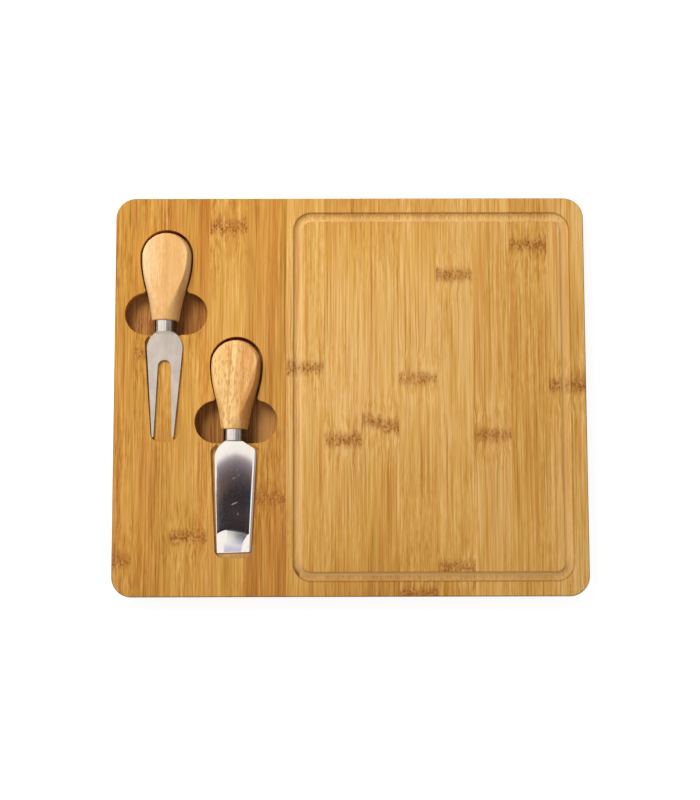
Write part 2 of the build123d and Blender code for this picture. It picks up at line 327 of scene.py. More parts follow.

# Where the cutter's marks and the painted shade on the rims lie on the board. In millimetres.
marks = {
    "rimInside": (138.0, 116.4),
    "wallInside": (139.2, 117.7),
    "cornerFrom": 238.0,
    "middleHeight": 7.5,
    "rimHeights": (5.4, 6.2),
    "faceHeights": (12.9, 13.4),
    "deepBrownHeights": (12.2, 11.2),
    "coreFrom": 5.0,
    "bladeFloorUnder": 12.9,
    "knifeEndBelow": -88.0,
    "toolsLeftOf": -30.0,
    "pocketEndsBelow": -20.0,
}

# The juice groove: the middle and half the sides of its centre line, the cutter's marks, and where the painted
# light and shade lie on its slopes.
groove = {
    "middle": (48.65, 0.0, 0.0),
    "half": (79.55, 106.7, 0.0),
    "corner": 7.8,
    "halfWidth": 2.8,
    "outerLine": (0.7, 0.15, 0.5),
    "innerLine": (0.5, 0.1, 0.1),
    "cutFrom": (2.8, 2.5),
    "slope": (1.0, -1.6),
    "slopeShares": (0.14, 0.36),
    "leeFacing": (0.05, 0.35),
    "leeSlope": (0.4, -0.8),
    "frontFrom": (-96.0, -103.0),
}


def makeBambooGroup():
    names = ["seed", "knuckleX", "knuckleY", "knuckleGap", "strength", "arch", "lean",
             "shadeUp", "shadeDown", "toneAndLight", "driftAndShade", "bowAndShade", "redness"]
    group, given, made = newGroup("bambooFibres", names, [
        ("Color", "NodeSocketColor"), ("height", "NodeSocketFloat"), ("roughness", "NodeSocketFloat")])
    add = partial(addNode, group)
    here = add("ShaderNodeTexCoord").node.outputs["Object"]
    place = add("ShaderNodeVectorMath", [here, (1000.0, 1000.0, 1000.0)], operation="MULTIPLY")  # millimetres
    x, y, z = add("ShaderNodeSeparateXYZ", [place]).node.outputs
    seedPlace = add("ShaderNodeCombineXYZ", [given["seed"], 0.0, given["seed"]])

    # u and v run across and along the strip from the knuckle's place
    u = add("ShaderNodeMath", [x, given["knuckleX"]], operation="SUBTRACT")
    along = add("ShaderNodeMath", [y, given["knuckleY"]], operation="SUBTRACT")
    halfGap = add("ShaderNodeMath", [given["knuckleGap"], 0.5], operation="MULTIPLY")
    minusHalf = add("ShaderNodeMath", [given["knuckleGap"], -0.5], operation="MULTIPLY")
    v = add("ShaderNodeMath", [along, halfGap, minusHalf], operation="WRAP")
    v = add("ShaderNodeMath", [u, given["lean"], v], operation="MULTIPLY_ADD")
    vAway = add("ShaderNodeMath", [v], operation="ABSOLUTE")

    # the fibres swerve near a knuckle
    near = add("ShaderNodeMapRange", {"Value": vAway, "From Min": 36.0, "From Max": 4.0},
               interpolation_type="SMOOTHERSTEP")
    near = add("ShaderNodeMath", [near, given["strength"]], operation="MULTIPLY")
    swerveAt = add("ShaderNodeVectorMath", [place, (0.20, 0.06, 0.20), seedPlace], operation="MULTIPLY_ADD")
    swerve = add("ShaderNodeTexNoise", {"Vector": swerveAt, "Scale": 1.0, "Detail": 2.0})
    swerve = add("ShaderNodeMath", [swerve, 0.5], operation="SUBTRACT")
    reach = add("ShaderNodeMath", [near, 4.0, 0.7], operation="MULTIPLY_ADD")
    swerved = add("ShaderNodeMath", [swerve, reach, x], operation="MULTIPLY_ADD")
    arches = add("ShaderNodeMath", [u, 3.6], operation="PINGPONG")
    arches = add("ShaderNodeMath", [arches, given["arch"]], operation="MULTIPLY")
    raised = add("ShaderNodeMath", [near, arches], operation="MULTIPLY")
    raised = add("ShaderNodeMath", [raised, 2.2, y], operation="MULTIPLY_ADD")
    fibre = add("ShaderNodeCombineXYZ", [swerved, raised, z])

    # fibres, flames beside the knuckle and short ticks in patches
    waves = {}
    for name, across, length in bamboo["waves"]:
        at = add("ShaderNodeVectorMath", [fibre, (across, length, across), seedPlace], operation="MULTIPLY_ADD")
        wave = add("ShaderNodeTexNoise", {"Vector": at, "Scale": 1.0, "Detail": 1.0, "Roughness": 0.5})
        waves[name] = add("ShaderNodeMath", [wave, 0.5], operation="SUBTRACT")
    fine = waves["fine"]
    noises = {}
    for name, base, often, shift, detail in (
            ("patch", place, (0.035, 0.016, 0.0), (0.0, 0.0, 0.0), 1.0),
            ("jag", place, (0.42, 0.0, 0.0), (0.0, 0.0, 0.0), 2.0),
            ("uneven", place, (0.11, 0.05, 0.0), (0.0, 0.0, 0.0), 1.0),
            ("dash", place, (0.8, 0.34, 0.8), (0.0, 0.0, 0.0), 2.0),
            ("tail", fibre, (0.95, 0.02, 0.95), (0.0, 0.0, 0.0), 1.0),
            ("wedge", fibre, (0.55, 0.03, 0.55), (11.0, 3.0, 5.0), 2.0)):
        at = add("ShaderNodeVectorMath", [base, often, seedPlace], operation="MULTIPLY_ADD")
        at = add("ShaderNodeVectorMath", [at, shift], operation="ADD")
        noises[name] = add("ShaderNodeTexNoise", {"Vector": at, "Scale": 1.0, "Detail": detail})
    patch = add("ShaderNodeMapRange", {"Value": noises["patch"], "From Min": 0.42, "From Max": 0.62,
                                       "To Min": 0.15})
    patch = add("ShaderNodeMath", [patch, near], operation="MAXIMUM")
    waves["flame"] = add("ShaderNodeMath", [near, waves["flame"]], operation="MULTIPLY")
    waves["tick"] = add("ShaderNodeMath", [patch, waves["tick"]], operation="MULTIPLY")
    value = 0.5
    for name, wave in waves.items():
        value = add("ShaderNodeMath", [wave, bamboo["waveShares"][name], value], operation="MULTIPLY_ADD")
    value = add("ShaderNodeMath", [value, given["toneAndLight"]], operation="ADD")
    reachUp = add("ShaderNodeMath", [y, 0.01], operation="MULTIPLY")
    value = add("ShaderNodeMath", [reachUp, given["driftAndShade"], value], operation="MULTIPLY_ADD")
    squared = add("ShaderNodeMath", [reachUp, 2.0], operation="POWER")
    value = add("ShaderNodeMath", [squared, given["bowAndShade"], value], operation="MULTIPLY_ADD")
    colour = setRamp(add("ShaderNodeValToRGB", [value]), bamboo["ramp"])

    # some fibres lean to red, some to green, some are rosy, and a few are thin dark lines
    hueAt = add("ShaderNodeVectorMath", [fibre, (0.62, 0.007, 0.62), seedPlace], operation="MULTIPLY_ADD")
    hueAt = add("ShaderNodeVectorMath", [hueAt, (31.0, 7.0, 3.0)], operation="ADD")
    hue = add("ShaderNodeTexNoise", {"Vector": hueAt, "Scale": 1.0, "Detail": 1.0})
    hue = add("ShaderNodeMath", [hue, given["redness"]], operation="ADD")
    lineAt = add("ShaderNodeVectorMath", [fibre, (1.1, 0.005, 1.1), hueAt], operation="MULTIPLY_ADD")
    line = add("ShaderNodeTexNoise", {"Vector": lineAt, "Scale": 1.0, "Detail": 0.0})
    for signal, start, end, most, tint in (
            (hue, 0.52, 0.74, 0.55, "reddish"), (hue, 0.46, 0.28, 0.36, "greenish"),
            (line, 0.40, 0.22, 0.45, "rosy"), (line, 0.64, 0.76, 0.60, "line")):
        share = add("ShaderNodeMapRange", {"Value": signal, "From Min": start, "From Max": end, "To Max": most})
        colour = add("ShaderNodeMix", {0: share, 6: colour, 7: linear(bamboo[tint])}, data_type="RGBA")

    # the knuckle: a brown wash that runs out in flames, and a jagged band of dark dashes and specks
    jag = add("ShaderNodeMath", [noises["jag"], 0.5], operation="SUBTRACT")
    tail = add("ShaderNodeMath", [noises["tail"], 0.5], operation="SUBTRACT")
    jagged = add("ShaderNodeMath", [jag, 4.5, v], operation="MULTIPLY_ADD")
    jagged = add("ShaderNodeMath", [jagged, arches], operation="ADD")
    fromBand = add("ShaderNodeMath", [jagged], operation="ABSOLUTE")
    fromBand = add("ShaderNodeMath", [tail, 7.0, fromBand], operation="MULTIPLY_ADD")
    uneven = add("ShaderNodeMapRange", {"Value": noises["uneven"], "From Min": 0.36, "From Max": 0.58,
                                        "To Min": 0.6})
    bands = []
    for start, full in ((6.2, 1.6), (4.6, 1.2)):
        band = add("ShaderNodeMapRange", {"Value": fromBand, "From Min": start, "From Max": full},
                   interpolation_type="SMOOTHSTEP")
        bands.append(maskOf(add, band, given["strength"], uneven))
    band, core = bands
    dotAt = add("ShaderNodeVectorMath", [place, (0.86, 0.58, 0.86), seedPlace], operation="MULTIPLY_ADD")
    dots = add("ShaderNodeTexVoronoi", {"Vector": dotAt, "Scale": 1.0, "Randomness": 1.0})
    dash = noises["dash"]
    dark = maskOf(add, core, (dots, 0.54, 0.24), (dash, 0.38, 0.54))
    pale = maskOf(add, band, (dots, 0.62, 0.85))
    washed = add("ShaderNodeMapRange", {"Value": dash, "From Min": 0.30, "From Max": 0.55, "To Min": 0.35})
    washed = maskOf(add, washed, band)
    above = add("ShaderNodeMath", [v, given["shadeUp"]], operation="DIVIDE")
    below = add("ShaderNodeMath", [v, given["shadeDown"]], operation="DIVIDE")
    below = add("ShaderNodeMath", [below, -1.0], operation="MULTIPLY")
    far = add("ShaderNodeMath", [above, below], operation="MAXIMUM")
    taper = add("ShaderNodeMath", [far, -0.32, noises["wedge"]], operation="MULTIPLY_ADD")
    fade = add("ShaderNodeMath", [far, -1.0, 1.15], operation="MULTIPLY_ADD", use_clamp=True)
    shade = maskOf(add, (taper, 0.30, 0.50), fade, given["strength"])
    for signal, most, tint in ((shade, 0.55, "wash"), (washed, 0.72, "bandWash"), (pale, 0.5, "speck"),
                               (dark, 0.85, "dash")):
        share = add("ShaderNodeMath", [signal, most], operation="MULTIPLY")
        colour = add("ShaderNodeMix", {0: share, 6: colour, 7: linear(bamboo[tint])}, data_type="RGBA")

    # end grain: brown dots of cut fibre bundles where the surface faces along the strip
    facing = add("ShaderNodeNewGeometry").node.outputs["Normal"]
    nx, ny, nz = add("ShaderNodeSeparateXYZ", [facing]).node.outputs
    alongFacing = add("ShaderNodeMath", [ny], operation="ABSOLUTE")
    off = add("ShaderNodeVectorMath", [place], operation="ABSOLUTE")
    ax, ay = add("ShaderNodeSeparateXYZ", [off]).node.outputs[:2]
    limits = []
    for name, side in (("rimInside", "GREATER_THAN"), ("wallInside", "LESS_THAN")):
        for reach, limit in zip((ax, ay), marks[name]):
            limits.append(add("ShaderNodeMath", [reach, limit], operation=side))
    outerX, outerY, insideX, insideY = limits
    outer = add("ShaderNodeMath", [outerX, outerY], operation="MAXIMUM")
    reach = add("ShaderNodeMath", [ax, ay], operation="ADD")
    corners = add("ShaderNodeMath", [reach, marks["cornerFrom"]], operation="GREATER_THAN")
    outer = add("ShaderNodeMath", [outer, corners], operation="MAXIMUM")
    ends = maskOf(add, (alongFacing, 0.62, 0.9), outer)
    dotAt = add("ShaderNodeVectorMath", [place, (1.25, 0.0, 1.25)], operation="MULTIPLY")
    dots = add("ShaderNodeTexVoronoi", {"Vector": dotAt, "Scale": 1.0})
    endDots = maskOf(add, ends, (dots, 0.42, 0.22))

    # the rims are a little darker all round: painted shade
    upright = add("ShaderNodeMath", [nz], operation="ABSOLUTE")
    fromMiddle = add("ShaderNodeMath", [z, marks["middleHeight"]], operation="SUBTRACT")
    fromMiddle = add("ShaderNodeMath", [fromMiddle], operation="ABSOLUTE")
    rimPaintedShade = maskOf(add, (upright, 0.97, 0.7), outer, (fromMiddle, *marks["rimHeights"]))

    # thin brown lines on the groove's arrises, mostly the outer one: partly the cutter's scorch, partly painted
    # shade on the walls turned from the lamp
    away = add("ShaderNodeVectorMath", [place, groove["middle"]], operation="SUBTRACT")
    away = add("ShaderNodeVectorMath", [away], operation="ABSOLUTE")
    inner = [side - groove["corner"] for side in groove["half"][:2]] + [1000.0]
    outside = add("ShaderNodeVectorMath", [away, inner], operation="SUBTRACT")
    ox, oy = add("ShaderNodeSeparateXYZ", [outside]).node.outputs[:2]
    within = add("ShaderNodeMath", [ox, oy], operation="MAXIMUM")
    within = add("ShaderNodeMath", [within, 0.0], operation="MINIMUM")
    outside = add("ShaderNodeVectorMath", [outside, (0.0, 0.0, 0.0)], operation="MAXIMUM")
    reachOut = add("ShaderNodeVectorMath", [outside], operation="LENGTH")
    distance = add("ShaderNodeMath", [reachOut, within], operation="ADD")
    distance = add("ShaderNodeMath", [distance, groove["corner"]], operation="SUBTRACT")
    lines = []
    for arris, (start, full, most) in ((groove["halfWidth"], groove["outerLine"]),
                                       (-groove["halfWidth"], groove["innerLine"])):
        gap = add("ShaderNodeMath", [distance, arris], operation="SUBTRACT")
        gap = add("ShaderNodeMath", [gap], operation="ABSOLUTE")
        lines.append(add("ShaderNodeMapRange", {"Value": gap, "From Min": start, "From Max": full, "To Max": most}))
    scorchAndShade = add("ShaderNodeMath", lines, operation="MAXIMUM")
    scorchAndShade = maskOf(add, scorchAndShade, (z, *marks["faceHeights"]))

    # the groove's floor is freshly cut and paler; the extra paleness on the inner slope, and most of all
    # on the slope that faces away from the lamp, is painted light, and along the front the cut is darker
    # as painted shade
    fromLine = add("ShaderNodeMath", [distance], operation="ABSOLUTE")
    cut = maskOf(add, (fromLine, *groove["cutFrom"]), (z, *marks["faceHeights"]))
    start, full = groove["slope"]
    least, most = groove["slopeShares"]
    inSlope = add("ShaderNodeMapRange", {"Value": distance, "From Min": start, "From Max": full, "To Min": least,
                                         "To Max": most})
    lee = add("ShaderNodeMath", [nx, ny], operation="SUBTRACT")
    leeLightShare = maskOf(add, cut, (lee, *groove["leeFacing"]), (distance, *groove["leeSlope"]))
    frontCutShade = maskOf(add, cut, (y, *groove["frontFrom"]))
    freshCutAndLight = maskOf(add, cut, inSlope)

    # routed pockets: rough and browner than the face from a little below it downwards; the blade
    # pockets' walls are darker at their lower ends
    offCorner = add("ShaderNodeMath", [corners, 0.5], operation="LESS_THAN")
    inside = maskOf(add, insideX, insideY, offCorner)
    overBase = add("ShaderNodeMath", [z, marks["coreFrom"]], operation="GREATER_THAN")
    routed = maskOf(add, inside, (z, *marks["deepBrownHeights"]), overBase)
    below = []
    for value, limit in ((z, "bladeFloorUnder"), (y, "knifeEndBelow"), (x, "toolsLeftOf"), (y, "pocketEndsBelow")):
        below.append(add("ShaderNodeMath", [value, marks[limit]], operation="LESS_THAN"))
    underFace, atKnifeEnd, atTools, lowerHalf = below
    shallow = maskOf(add, underFace, inside, overBase, atKnifeEnd)
    lowerEnd = maskOf(add, (ny, 0.08, 0.3), inside, atTools, lowerHalf)
    deepBrown = add("ShaderNodeMath", [fine, given["toneAndLight"]], operation="ADD")
    deepBrown = add("ShaderNodeMapRange", {"Value": deepBrown, "From Min": -0.12, "From Max": 0.25})
    deepBrown = add("ShaderNodeMix", {0: deepBrown, 6: linear(bamboo["routed"]), 7: linear(bamboo["routedLight"])},
                data_type="RGBA")
    for signal, most, tint in (
            (ends, 0.35, linear(bamboo["endGrain"])), (endDots, 0.6, linear(bamboo["dash"])),
            (rimPaintedShade, 0.68, linear(bamboo["edge"])), (shallow, 0.4, linear(bamboo["pocketFloor"])),
            (freshCutAndLight, 1.0, linear(bamboo["freshCutAndLight"])), (leeLightShare, 0.9, linear(bamboo["leeCutLight"])),
            # the arris lines are partly scorch and partly painted shade
            (frontCutShade, 0.36, linear(bamboo["frontCutShade"])), (scorchAndShade, 1.0, linear(bamboo["arris"])),
            (routed, 0.82, deepBrown), (lowerEnd, 0.8, linear(bamboo["arris"]))):
        share = add("ShaderNodeMath", [signal, most], operation="MULTIPLY")
        colour = add("ShaderNodeMix", {0: share, 6: colour, 7: tint}, data_type="RGBA")

    height = add("ShaderNodeMath", [dark, -0.5, fine], operation="MULTIPLY_ADD")
    rough = add("ShaderNodeMath", [fine, 0.25, 0.5], operation="MULTIPLY_ADD")
    rough = add("ShaderNodeMath", [dark, 0.15, rough], operation="MULTIPLY_ADD")
    rough = add("ShaderNodeMath", [routed, 0.2, rough], operation="MULTIPLY_ADD")
    for label, value in (("Color", colour), ("height", height), ("roughness", rough)):
        group.links.new(value, made[label])
    return group


bambooGroup = makeBambooGroup()


def bambooStrip(name, **given):
    values = {"seed": 0.0, "knuckleX": 0.0, "knuckleY": 0.0, "knuckleGap": 900.0, "strength": 0.8,
              "arch": 0.0, "lean": 0.0, "shadeUp": 8.0, "shadeDown": 8.0, "toneAndLight": 0.0, "driftAndShade": 0.0, "bowAndShade": 0.0,
              "redness": 0.0}
    values.update(given)
    material, tree, shader = newMaterial(name, IOR=1.5, Specular_IOR_Level=bamboo["sheen"])
    strip = tree.nodes.new("ShaderNodeGroup")
    strip.node_tree = bambooGroup
    for label, value in values.items():
        strip.inputs[label].default_value = value
    bump = addNode(tree, "ShaderNodeBump", {"Strength": 0.2, "Distance": 0.0002, "Height": strip.outputs["height"]})
    for socket, value in (("Base Color", strip.outputs["Color"]), ("Roughness", strip.outputs["roughness"]),
                          ("Normal", bump)):
        tree.links.new(value, shader.inputs[socket])
    return material


# The thirteen strips of the top ply, from the left: where the knuckle is, how strong it is, its
# arches and lean, how far its brown flames reach, how pale and how red the strip is, and how its
# paleness drifts and bows along it. The paleness and its drift and bow are partly the strips' own
# tone and partly painted light and shade against the lamp's fall-off across the board.
topStrips = [
    {"knuckleX": -133.6, "knuckleY": -96.7, "strength": 1.0, "shadeUp": 14.0, "toneAndLight": -0.07, "driftAndShade": -0.05},
    {"knuckleX": -124.1, "knuckleY": 25.1, "strength": 0.75, "toneAndLight": -0.05, "bowAndShade": -0.05},
    {"knuckleX": -94.0, "knuckleY": -83.5, "strength": 0.95, "toneAndLight": 0.02, "driftAndShade": -0.06, "bowAndShade": -0.08},
    {"knuckleX": -72.4, "knuckleY": 102.2, "strength": 1.0, "arch": 0.9, "shadeUp": 14.0, "toneAndLight": 0.1,
     "bowAndShade": -0.08},
    {"knuckleX": -47.3, "knuckleY": -60.8, "strength": 0.75, "shadeUp": 20.0, "shadeDown": 16.0, "toneAndLight": -0.08,
     "driftAndShade": 0.04, "bowAndShade": -0.03, "redness": 0.06},
    {"knuckleX": -26.2, "knuckleY": 15.9, "strength": 0.9, "toneAndLight": 0.27, "driftAndShade": 0.05, "bowAndShade": -0.16},
    {"knuckleX": -4.3, "knuckleY": -26.8, "strength": 0.9, "toneAndLight": 0.28, "bowAndShade": -0.24},
    {"knuckleX": 17.5, "knuckleY": -16.2, "strength": 1.0, "lean": 0.25, "arch": 0.5, "toneAndLight": 0.26, "driftAndShade": 0.08,
     "bowAndShade": -0.24},
    {"knuckleX": 39.6, "knuckleY": 9.8, "knuckleGap": 126.6, "strength": 0.9, "toneAndLight": 0.27, "driftAndShade": 0.08,
     "bowAndShade": -0.18},
    {"knuckleX": 61.6, "knuckleY": 71.6, "knuckleGap": 172.9, "strength": 0.75, "toneAndLight": 0.25, "driftAndShade": 0.06,
     "bowAndShade": -0.12},
    {"knuckleX": 85.4, "knuckleY": -24.1, "strength": 0.9, "toneAndLight": 0.18},
    {"knuckleX": 106.1, "knuckleY": 91.0, "strength": 1.0, "arch": 0.7, "shadeDown": 16.0, "toneAndLight": 0.06},
    {"knuckleX": 129.0, "knuckleY": 4.9, "strength": 1.0, "shadeUp": 18.0, "toneAndLight": 0.15, "bowAndShade": 0.08},
]
for number, look in enumerate(topStrips, 1):
    node = f"top_strip_{number:02d}"
    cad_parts[node].data.materials[0] = bambooStrip(f"bamboo {node}", seed=3.7 * number, **look)

# The strips of the core and the base: the same bamboo, other canes. Some of the core's are
# paler, of which the notch floors show the first and the fifth; their paleness is partly the canes'
# own tone and partly painted light on the notch floors.
coreTonesAndLight = {1: 0.09, 3: -0.02, 5: 0.3, 7: 0.18, 8: 0.1, 10: 0.22, 12: 0.14}
cane = random.Random(24)
for ply in ("core", "base"):
    for number in range(1, 14):
        node = f"{ply}_strip_{number:02d}"
        low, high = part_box(node)
        look = {
            "seed": 61.0 + 5.3 * number + (97.0 if ply == "base" else 0.0),
            "knuckleX": (low[0] + high[0]) / 2 / millimetre,
            "knuckleY": cane.uniform(-105.0, 105.0),
            "strength": cane.uniform(0.6, 1.0),
            "arch": cane.choice((0.0, 0.0, 0.6, 0.9)),
            "shadeUp": cane.uniform(5.0, 16.0),
            "shadeDown": cane.uniform(5.0, 16.0),
            "toneAndLight": cane.uniform(-0.06, 0.05),
            "redness": cane.uniform(-0.03, 0.05),
        }
        if ply == "core":
            look["toneAndLight"] = coreTonesAndLight.get(number, look["toneAndLight"])
        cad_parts[node].data.materials[0] = bambooStrip(f"bamboo {node}", **look)
print("board: 39 bamboo strips finished")

# The tools lie in their pockets, each turned a little about the ball of its handle.
# place is the middle of the ferrule's blade end; both are in millimetres, the turn in degrees.
tools = {
    "fork": {"place": (-109.4, 37.55, 13.3), "turn": -0.8},
    "knife": {"place": (-67.72, -27.1, 13.3), "turn": -1.2},
}
ballCentre = 45.25


def toolMatrix(tool):
    x, y, z = (value * millimetre for value in tools[tool]["place"])
    pivot = ballCentre * millimetre
    turn = Matrix.Rotation(math.radians(tools[tool]["turn"]), 4, "Z")
    return Matrix.Translation((x, y + pivot, z)) @ turn @ Matrix.Translation((0.0, -pivot, 0.0))


# Turned pieces: a lathe in Geometry Nodes. It sweeps a circle along the axis, as wide at each
# point as that point's radius, and flattens what stands over the two flats.
def makeLathe():
    lathe = bpy.data.node_groups.new("lathe", "GeometryNodeTree")
    lathe.interface.new_socket("Geometry", in_out="INPUT", socket_type="NodeSocketGeometry")
    for label, kind in (("sides", "NodeSocketInt"), ("lowerFlat", "NodeSocketFloat"),
                        ("upperFlatAtStart", "NodeSocketFloat"), ("upperFlatFall", "NodeSocketFloat"),
                        ("softness", "NodeSocketFloat"), ("finish", "NodeSocketMaterial")):
        lathe.interface.new_socket(label, in_out="INPUT", socket_type=kind)
    lathe.interface.new_socket("Geometry", in_out="OUTPUT", socket_type="NodeSocketGeometry")
    given = lathe.nodes.new("NodeGroupInput").outputs
    add = partial(addNode, lathe)
    circle = add("GeometryNodeCurvePrimitiveCircle", {"Resolution": given["sides"], "Radius": 1.0})
    radius = add("GeometryNodeInputRadius")
    swept = add("GeometryNodeCurveToMesh", {"Curve": given["Geometry"], "Profile Curve": circle,
                                            "Scale": radius, "Fill Caps": True})
    closed = add("GeometryNodeMergeByDistance", {"Geometry": swept, "Distance": 0.000002})
    at = add("GeometryNodeInputPosition")
    x, y, z = add("ShaderNodeSeparateXYZ", [at]).node.outputs
    fall = add("ShaderNodeMath", [y, given["upperFlatFall"]], operation="MULTIPLY")
    upper = add("ShaderNodeMath", [given["upperFlatAtStart"], fall], operation="SUBTRACT")
    lower = add("ShaderNodeMath", [given["lowerFlat"], -1.0], operation="MULTIPLY")
    flat = add("ShaderNodeMath", [z, upper, given["softness"]], operation="SMOOTH_MIN")
    flat = add("ShaderNodeMath", [flat, lower, given["softness"]], operation="SMOOTH_MAX")
    to = add("ShaderNodeCombineXYZ", [x, y, flat])
    flattened = add("GeometryNodeSetPosition", {"Geometry": closed, "Position": to})
    smooth = add("GeometryNodeSetShadeSmooth", {"Geometry": flattened, "Shade Smooth": True})
    whole = add("GeometryNodeRealizeInstances", {"Geometry": smooth})
    finished = add("GeometryNodeSetMaterial", {"Geometry": whole, "Material": given["finish"]})
    lathe.links.new(finished, lathe.nodes.new("NodeGroupOutput").inputs[0])
    return lathe


lathe = makeLathe()


def turnPiece(name, profile, matrix, **settings):
    # profile gives (distance along the axis, radius) in millimetres
    curve = bpy.data.curves.new(name, "CURVE")
    curve.dimensions = "3D"
    spline = curve.splines.new("POLY")
    spline.points.add(len(profile) - 1)
    for point, (along, radius) in zip(spline.points, profile):
        point.co = (0.0, along * millimetre, 0.0, 1.0)
        point.radius = radius * millimetre
    blank = bpy.data.objects.new(name + "Axis", curve)
    bpy.context.scene.collection.objects.link(blank)
    modifier = blank.modifiers.new("lathe", "NODES")
    modifier.node_group = lathe
    for item in lathe.interface.items_tree:
        if item.in_out == "INPUT" and item.name in settings:
            modifier[item.identifier] = settings[item.name]
    bpy.context.view_layer.update()
    turned = blank.evaluated_get(bpy.context.evaluated_depsgraph_get())
    mesh = bpy.data.meshes.new_from_object(turned)
    mesh.name = name
    bpy.data.objects.remove(blank)
    mesh.transform(matrix)
    piece = bpy.data.objects.new(name, mesh)
    bpy.context.scene.collection.objects.link(piece)
    return piece


def roundedPath(corners, step):
    # corners are (along, radius, share): each corner's curve takes up that share of its shorter side
    path = []
    for number, (along, radius, share) in enumerate(corners):
        corner = Vector((along, radius))
        if not share:
            path.append(corner)
            continue
        before = Vector(corners[number - 1][:2]) - corner
        after = Vector(corners[number + 1][:2]) - corner
        bend = math.pi - before.angle(after)
        reach = share * min(before.length, after.length)
        curve = reach / math.tan(bend / 2)
        centre = corner + (before.normalized() + after.normalized()).normalized() * math.hypot(reach, curve)
        start = corner + before.normalized() * reach - centre
        side = 1.0 if before.cross(after) < 0 else -1.0
        pieces = max(2, round(curve * bend / step))
        for piece in range(pieces + 1):
            turned = Matrix.Rotation(side * bend * piece / pieces, 2) @ start
            path.append(centre + turned)
    return path


def filled(path, step):
    # adds points along the straight stretches of a path
    points = [path[0]]
    for start, end in zip(path, path[1:]):
        count = max(1, round((end - start).length / step))
        points += [start.lerp(end, piece / count) for piece in range(1, count + 1)]
    return [tuple(point) for point in points]


# Handles: turned drops with two flats. In millimetres; shares as in the drawing of the handle.
handle = {
    "start": 6.8,
    "length": 53.1,
    "width": 29.3,
    "neck": 16.0,
    "neckRound": 0.35,
    "waistOut": 0.165,
    "waistAlong": 0.233,
    "shoulderAlong": 0.793,
    "waistShare": 0.88,
    "shoulderShare": 0.95,
    "lowerFlat": 7.3,
    "upperFlatAtNeck": 8.9,
    "upperFlatAtCrown": 6.5,
    "softness": 0.9,
    "sides": 240,
    "step": 0.42,
    "crownRings": 64,
}


def handleProfile():
    half, neck, start = handle["width"] / 2, handle["neck"] / 2, handle["start"]
    along = ballCentre - start
    corners = [
        (start, neck - handle["neckRound"], 0),
        (start + handle["neckRound"], neck, 0),
        (start + handle["waistAlong"] * along, neck + handle["waistOut"] * (half - neck), handle["waistShare"]),
        (start + handle["shoulderAlong"] * along, half, handle["shoulderShare"]),
        (ballCentre, half, 0),
    ]
    path = filled(roundedPath(corners, handle["step"]), handle["step"])
    rings = handle["crownRings"]
    for ring in range(1, rings + 1):
        angle = math.pi / 2 * ring / rings
        path.append((ballCentre + half * math.sin(angle), half * math.cos(angle)))
    return path


def makeHandle(tool, finish):
    fall = (handle["upperFlatAtNeck"] - handle["upperFlatAtCrown"]) / handle["length"]
    return turnPiece(
        f"{tool}Handle", handleProfile(), toolMatrix(tool), sides=handle["sides"],
        lowerFlat=handle["lowerFlat"] * millimetre,
        upperFlatAtStart=(handle["upperFlatAtNeck"] + fall * handle["start"]) * millimetre,
        upperFlatFall=fall, softness=handle["softness"] * millimetre, finish=finish)


# Ferrules: drawn steel cups with a rolled lip at each end. In millimetres.
ferrule = {"length": 6.8, "radius": 6.5, "waist": 6.38, "wall": 0.6, "lip": 0.55, "round": 0.35, "sides": 160,
           "step": 0.12, "longStep": 0.8}


def makeFerrule(tool, finish):
    radius, waist, end, lip = ferrule["radius"], ferrule["waist"], ferrule["length"], ferrule["lip"]
    soft = ferrule["round"]
    corners = [
        (0.0, 0.0, 0), (0.0, radius, 0.06), (lip, radius, 0.4), (lip + soft, waist, 0.4),
        (end - lip - soft, waist, 0.4), (end - lip, radius, 0.4), (end, radius, 0.3),
        (end, radius - ferrule["wall"], 0),
    ]
    path = filled(roundedPath(corners, ferrule["step"]), ferrule["longStep"])
    return turnPiece(f"{tool}Ferrule", path, toolMatrix(tool), sides=ferrule["sides"], lowerFlat=1.0,
                     upperFlatAtStart=1.0, upperFlatFall=0.0, softness=0.0, finish=finish)


# Fork blade: the stamped solid with its sharp edges broken, as tumbling leaves them.
# In millimetres and degrees.
forkBlade = {"edge": 0.14, "segments": 2, "sharper": 8.0, "merge": 0.003, "flatter": 0.6}


def makeForkBlade(finish):
    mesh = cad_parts["fork_blade"].data.copy()
    mesh.name = "forkBlade"
    shape = bmesh.new()
    shape.from_mesh(mesh)
    bmesh.ops.remove_doubles(shape, verts=shape.verts, dist=forkBlade["merge"] * millimetre)
    bmesh.ops.dissolve_limit(shape, angle_limit=math.radians(forkBlade["flatter"]), verts=shape.verts,
                             edges=shape.edges)
    shape.to_mesh(mesh)
    shape.free()
    mesh.materials.clear()
    mesh.materials.append(finish)
    piece = bpy.data.objects.new("forkBlade", mesh)
    bpy.context.scene.collection.objects.link(piece)
    bevel = piece.modifiers.new("broken edges", "BEVEL")
    bevel.width = forkBlade["edge"] * millimetre
    bevel.segments = forkBlade["segments"]
    bevel.limit_method = "ANGLE"
    bevel.angle_limit = math.radians(forkBlade["sharper"])
    bevel.use_clamp_overlap = True
    worn = bpy.data.meshes.new_from_object(piece.evaluated_get(bpy.context.evaluated_depsgraph_get()))
    piece.modifiers.clear()
    piece.data = worn
    return piece


